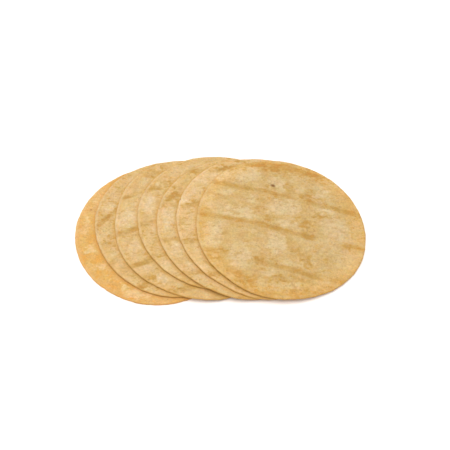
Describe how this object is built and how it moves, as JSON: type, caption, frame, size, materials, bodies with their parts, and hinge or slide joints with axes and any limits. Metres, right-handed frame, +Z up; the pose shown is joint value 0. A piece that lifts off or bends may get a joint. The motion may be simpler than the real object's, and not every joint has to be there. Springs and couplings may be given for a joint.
{
  "type": "corn tortilla stack",
  "caption": "Fanned stack of flat round corn tortillas, each laid a step along from the one below and sagging over its edge.",
  "frame": {"origin": "centre of the stack's footprint, on the surface it lies on", "axes": "+X runs along the row from the lowest tortilla to the top one, +Z is up, and -Y faces the viewer"},
  "size_m": [0.2552, 0.1596, 0.0137],
  "materials": {
    "tortilla_1": "matte baked corn dough, deeper yellow side up",
    "tortilla_2": "matte baked corn dough, paler side up",
    "tortilla_3": "matte baked corn dough, paler side up",
    "tortilla_4": "matte baked corn dough, paler side up",
    "tortilla_5": "matte baked corn dough, paler side up",
    "tortilla_6": "matte baked corn dough, paler side up",
    "tortilla_7": "matte baked corn dough, paler side up"
  },
  "bodies": {
    "root": {"tortilla_1": "tortilla_1", "tortilla_2": "tortilla_2", "tortilla_3": "tortilla_3", "tortilla_4": "tortilla_4", "tortilla_5": "tortilla_5", "tortilla_6": "tortilla_6", "tortilla_7": "tortilla_7"}
  },
  "joints": []
}
